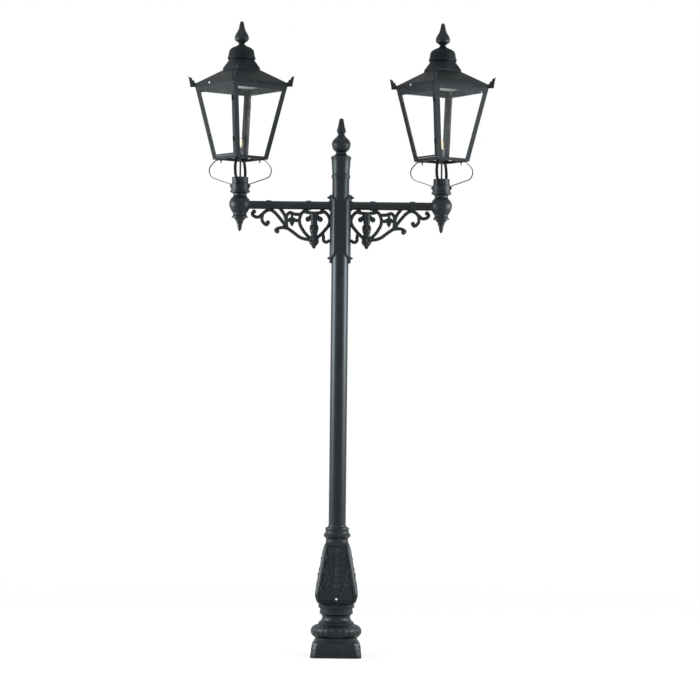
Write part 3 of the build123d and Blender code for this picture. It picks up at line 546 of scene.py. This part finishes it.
makeBrackets()
print("brackets")


# Base: bead ring, gadroons, panel mouldings and the leaf work of the pedestal

base = {
    "beads": {"radius": 0.1062, "height": 0.3155, "size": 0.0080, "count": 36},
    "gadroons": {"count": 26, "line": [(0.1400, 0.123), (0.1490, 0.134), (0.1560, 0.154), (0.1530, 0.173),
                                       (0.1420, 0.1865), (0.1300, 0.1945)],
                 "proud": [0.0008, 0.0038, 0.0042, 0.0036, 0.0026, 0.0008], "spread": 3.6},
    "plinthBow": {"faces": [(0.016, 0.157), (0.058, 0.151), (0.092, 0.141)], "width": 0.0046,
                  "points": [(-0.124, 0.074), (-0.111, 0.055), (-0.064, 0.040), (0.0, 0.035),
                             (0.064, 0.040), (0.111, 0.055), (0.124, 0.074)]},
}
pedestal = {
    # half width of a face at each height
    "faces": [(0.335, 0.1100), (0.345, 0.1195), (0.364, 0.1275), (0.387, 0.1315), (0.414, 0.1290),
              (0.679, 0.0830), (0.691, 0.0800), (0.703, 0.0750), (0.712, 0.0710)],
    "borderInset": 0.0175,
    "border": [0.372, 0.402, 0.45, 0.50, 0.56, 0.62, 0.672],
    "borderWidth": 0.0028,
    "borderRise": [0.0, 0.010, 0.014, 0.010, 0.0],
    # leaf work as line and half widths, one side of the middle
    "sprays": [
        ([(0.000, 0.516), (0.022, 0.507), (0.052, 0.508), (0.071, 0.526), (0.070, 0.550), (0.052, 0.563),
          (0.036, 0.553), (0.040, 0.538)],
         [0.0060, 0.0068, 0.0074, 0.0078, 0.0074, 0.0066, 0.0056, 0.0050]),
        ([(0.000, 0.468), (0.018, 0.478), (0.038, 0.494), (0.057, 0.494), (0.070, 0.476)],
         [0.0055, 0.0088, 0.0112, 0.0094, 0.0012]),
        ([(0.020, 0.480), (0.038, 0.478), (0.054, 0.462)], [0.0030, 0.0080, 0.0012]),
        ([(0.000, 0.418), (0.014, 0.436), (0.030, 0.456), (0.048, 0.458), (0.060, 0.440)],
         [0.0060, 0.0094, 0.0120, 0.0094, 0.0012]),
        ([(0.012, 0.430), (0.032, 0.432), (0.048, 0.416)], [0.0030, 0.0086, 0.0012]),
        ([(0.000, 0.402), (0.018, 0.405), (0.036, 0.394)], [0.0060, 0.0092, 0.0012]),
        ([(0.000, 0.560), (0.012, 0.582), (0.028, 0.593), (0.040, 0.583)], [0.0050, 0.0082, 0.0074, 0.0012]),
        ([(0.000, 0.610), (0.010, 0.630), (0.026, 0.641), (0.040, 0.635), (0.042, 0.620)],
         [0.0055, 0.0082, 0.0088, 0.0074, 0.0020]),
        ([(0.000, 0.628), (0.011, 0.649), (0.024, 0.662), (0.033, 0.657)], [0.0055, 0.0086, 0.0080, 0.0012]),
        ([(0.000, 0.640), (0.009, 0.664), (0.018, 0.680)], [0.0055, 0.0080, 0.0012]),
    ],
    "spine": ([(0.0, 0.392), (0.0, 0.440), (0.0, 0.500), (0.0, 0.560), (0.0, 0.620), (0.0, 0.660),
               (0.0, 0.686)],
              [0.0080, 0.0068, 0.0084, 0.0060, 0.0072, 0.0090, 0.0012]),
    "buttons": [(0.048, 0.546, 0.0085), (0.0, 0.513, 0.0112), (0.0, 0.613, 0.0092), (0.0, 0.596, 0.0060)],
    "proud": 0.50,
}


def faceHalf(rows, height):
    # half width of a face at a height, between the rows of its outline
    for (low, a), (high, b) in zip(rows, rows[1:]):
        if height <= high:
            return a + (b - a) * (height - low) / (high - low)
    return rows[-1][1]


def ontoFace(thing, rows):
    # moves flat work from the XZ plane onto the front face
    for spot in thing.data.vertices:
        spot.co.y -= faceHalf(rows, spot.co.z)
    return thing


def makeBowlWork():
    beads = base["beads"]
    bead = ball(beads["radius"], beads["height"], beads["size"])
    rings = [ringOf("bead", bead, beads["count"])]
    size = base["gadroons"]
    rings.append(ringOf("gadroons", stroke(size["line"], size["proud"], size["spread"], 3, 4), size["count"]))
    settle(joined("base_bowl_ornament", rings), "post", castPaint, 60)


def makePlinthWork():
    size = base["plinthBow"]
    line = stroke(size["points"], [size["width"]] * len(size["points"]), 0.8, 2, 6)
    line = ontoFace(line, size["faces"])
    settle(ringOf("plinth_bow_mouldings", line, 4), "post", castPaint, 60)


def makeSpray():
    parts = []
    for side in (-1, 1):
        for points, widths in pedestal["sprays"]:
            parts.append(stroke([(side * x, z) for x, z in points], widths, pedestal["proud"], 3, 5))
    parts.append(stroke(*pedestal["spine"], pedestal["proud"], 3, 4))
    for x, z, size in pedestal["buttons"]:
        for side in ((-1, 1) if x else (1,)):
            parts.append(ball(side * x, z, size, 0.8))
    return ontoFace(joined("spray", parts), pedestal["faces"])


def makeBorder():
    parts = []
    inset = pedestal["borderInset"]
    width = pedestal["borderWidth"]
    faces = pedestal["faces"]
    for side in (-1, 1):
        points = [(side * (faceHalf(faces, z) - inset), z) for z in pedestal["border"]]
        parts.append(stroke(points, [width] * len(points), 0.9, 2, 3))
    top = pedestal["border"][-1]
    half = faceHalf(faces, top) - inset
    across = [-half, -half * 0.5, 0, half * 0.5, half]
    points = [(x, top + rise) for x, rise in zip(across, pedestal["borderRise"])]
    parts.append(stroke(points, [width] * len(points), 0.9, 2, 5))
    return ontoFace(joined("border", parts), pedestal["faces"])


def makePedestalWork():
    spray = makeSpray()
    front = copied(spray)
    front.name = "access_door_leaf_work"
    settle(front, "access_door", castPaint, 60)
    others = [copied(spray, turn=math.pi / 2 * i) for i in (1, 2, 3)]
    discard(spray)
    settle(joined("pedestal_leaf_work", others), "post", castPaint, 60)
    border = makeBorder()
    settle(ringOf("pedestal_borders", border, 4), "post", castPaint, 60)


makeBowlWork()
makePlinthWork()
makePedestalWork()
print("base ornament")


# Floor and light

stage = {"size": 400.0, "white": 0.93, "glow": 0.72, "near": 1.5, "far": 6.0}


def seenPlainly(finish):
    # 1 for what the camera sees, straight, mirrored or through glass, and 0 for the light on the object
    path = finish.add("ShaderNodeLightPath", output="Is Camera Ray")
    gloss = finish.add("ShaderNodeLightPath", output="Is Glossy Ray")
    through = finish.add("ShaderNodeLightPath", output="Is Transmission Ray")
    return finish.add("ShaderNodeMath", {"operation": "MINIMUM"}, {0: path + gloss + through, 1: 1.0})


def makeFloor():
    deselect()
    bpy.ops.mesh.primitive_circle_add(vertices=96, radius=stage["size"], fill_type="NGON", location=(0, 0, 0))
    floor = bpy.context.object
    floor.name = "studioFloor"
    material, finish = newFinish("studioFloor")
    pale = (stage["white"], stage["white"], stage["white"], 1)
    matt = finish.add("ShaderNodeBsdfPrincipled", {}, {"Base Color": pale, "Roughness": 0.9,
                                                       "Specular IOR Level": 0.0})
    glow = finish.add("ShaderNodeEmission", {}, {"Color": (1, 1, 1, 1), "Strength": 1.0})
    away = finish.add("ShaderNodeVectorMath", {"operation": "LENGTH"}, {0: finish.place()}, 1)
    far = finish.band(away, stage["near"], stage["far"]) * (1 - stage["glow"]) + stage["glow"]
    mixed = finish.add("ShaderNodeMixShader", {}, {0: seenPlainly(finish) * far, 1: matt, 2: glow})
    finish.add("ShaderNodeOutputMaterial", {}, {"Surface": mixed})
    dress(floor, material)


lamps = {
    "left": {"place": (-5.0, -0.6, 2.6), "size": (2.6, 1.7), "power": 370, "aim": 2.6},
    "right": {"place": (5.0, -0.6, 2.6), "size": (2.6, 1.7), "power": 370, "aim": 2.6},
    "top": {"place": (0.0, -3.5, 8.0), "size": (5.0, 2.5), "power": 60, "aim": 2.0},
}
room = {"light": 0.55, "cool": (0.93, 0.97, 1.0)}


def makeLight():
    for name, lamp in lamps.items():
        deselect()
        bpy.ops.object.light_add(type="AREA", location=lamp["place"])
        thing = bpy.context.object
        thing.name = name + "Lamp"
        thing.data.shape = "RECTANGLE"
        thing.data.size, thing.data.size_y = lamp["size"]
        thing.data.energy = lamp["power"]
        thing.data.color = room["cool"]
        aim = Vector((0, 0, lamp["aim"])) - Vector(lamp["place"])
        thing.rotation_euler = aim.to_track_quat("-Z", "Y").to_euler()
    world = bpy.data.worlds.new("studio")
    bpy.context.scene.world = world
    world.use_nodes = True
    finish = Finish(world.node_tree)
    soft = finish.add("ShaderNodeBackground", {}, {"Color": (1, 1, 1, 1), "Strength": room["light"]})
    white = finish.add("ShaderNodeBackground", {}, {"Color": (1, 1, 1, 1), "Strength": 1.0})
    mixed = finish.add("ShaderNodeMixShader", {}, {0: seenPlainly(finish), 1: soft, 2: white})
    finish.add("ShaderNodeOutputWorld", {}, {"Surface": mixed})


makeFloor()
makeLight()
bpy.context.scene.view_settings.view_transform = "Standard"
print("floor and light")

deselect()
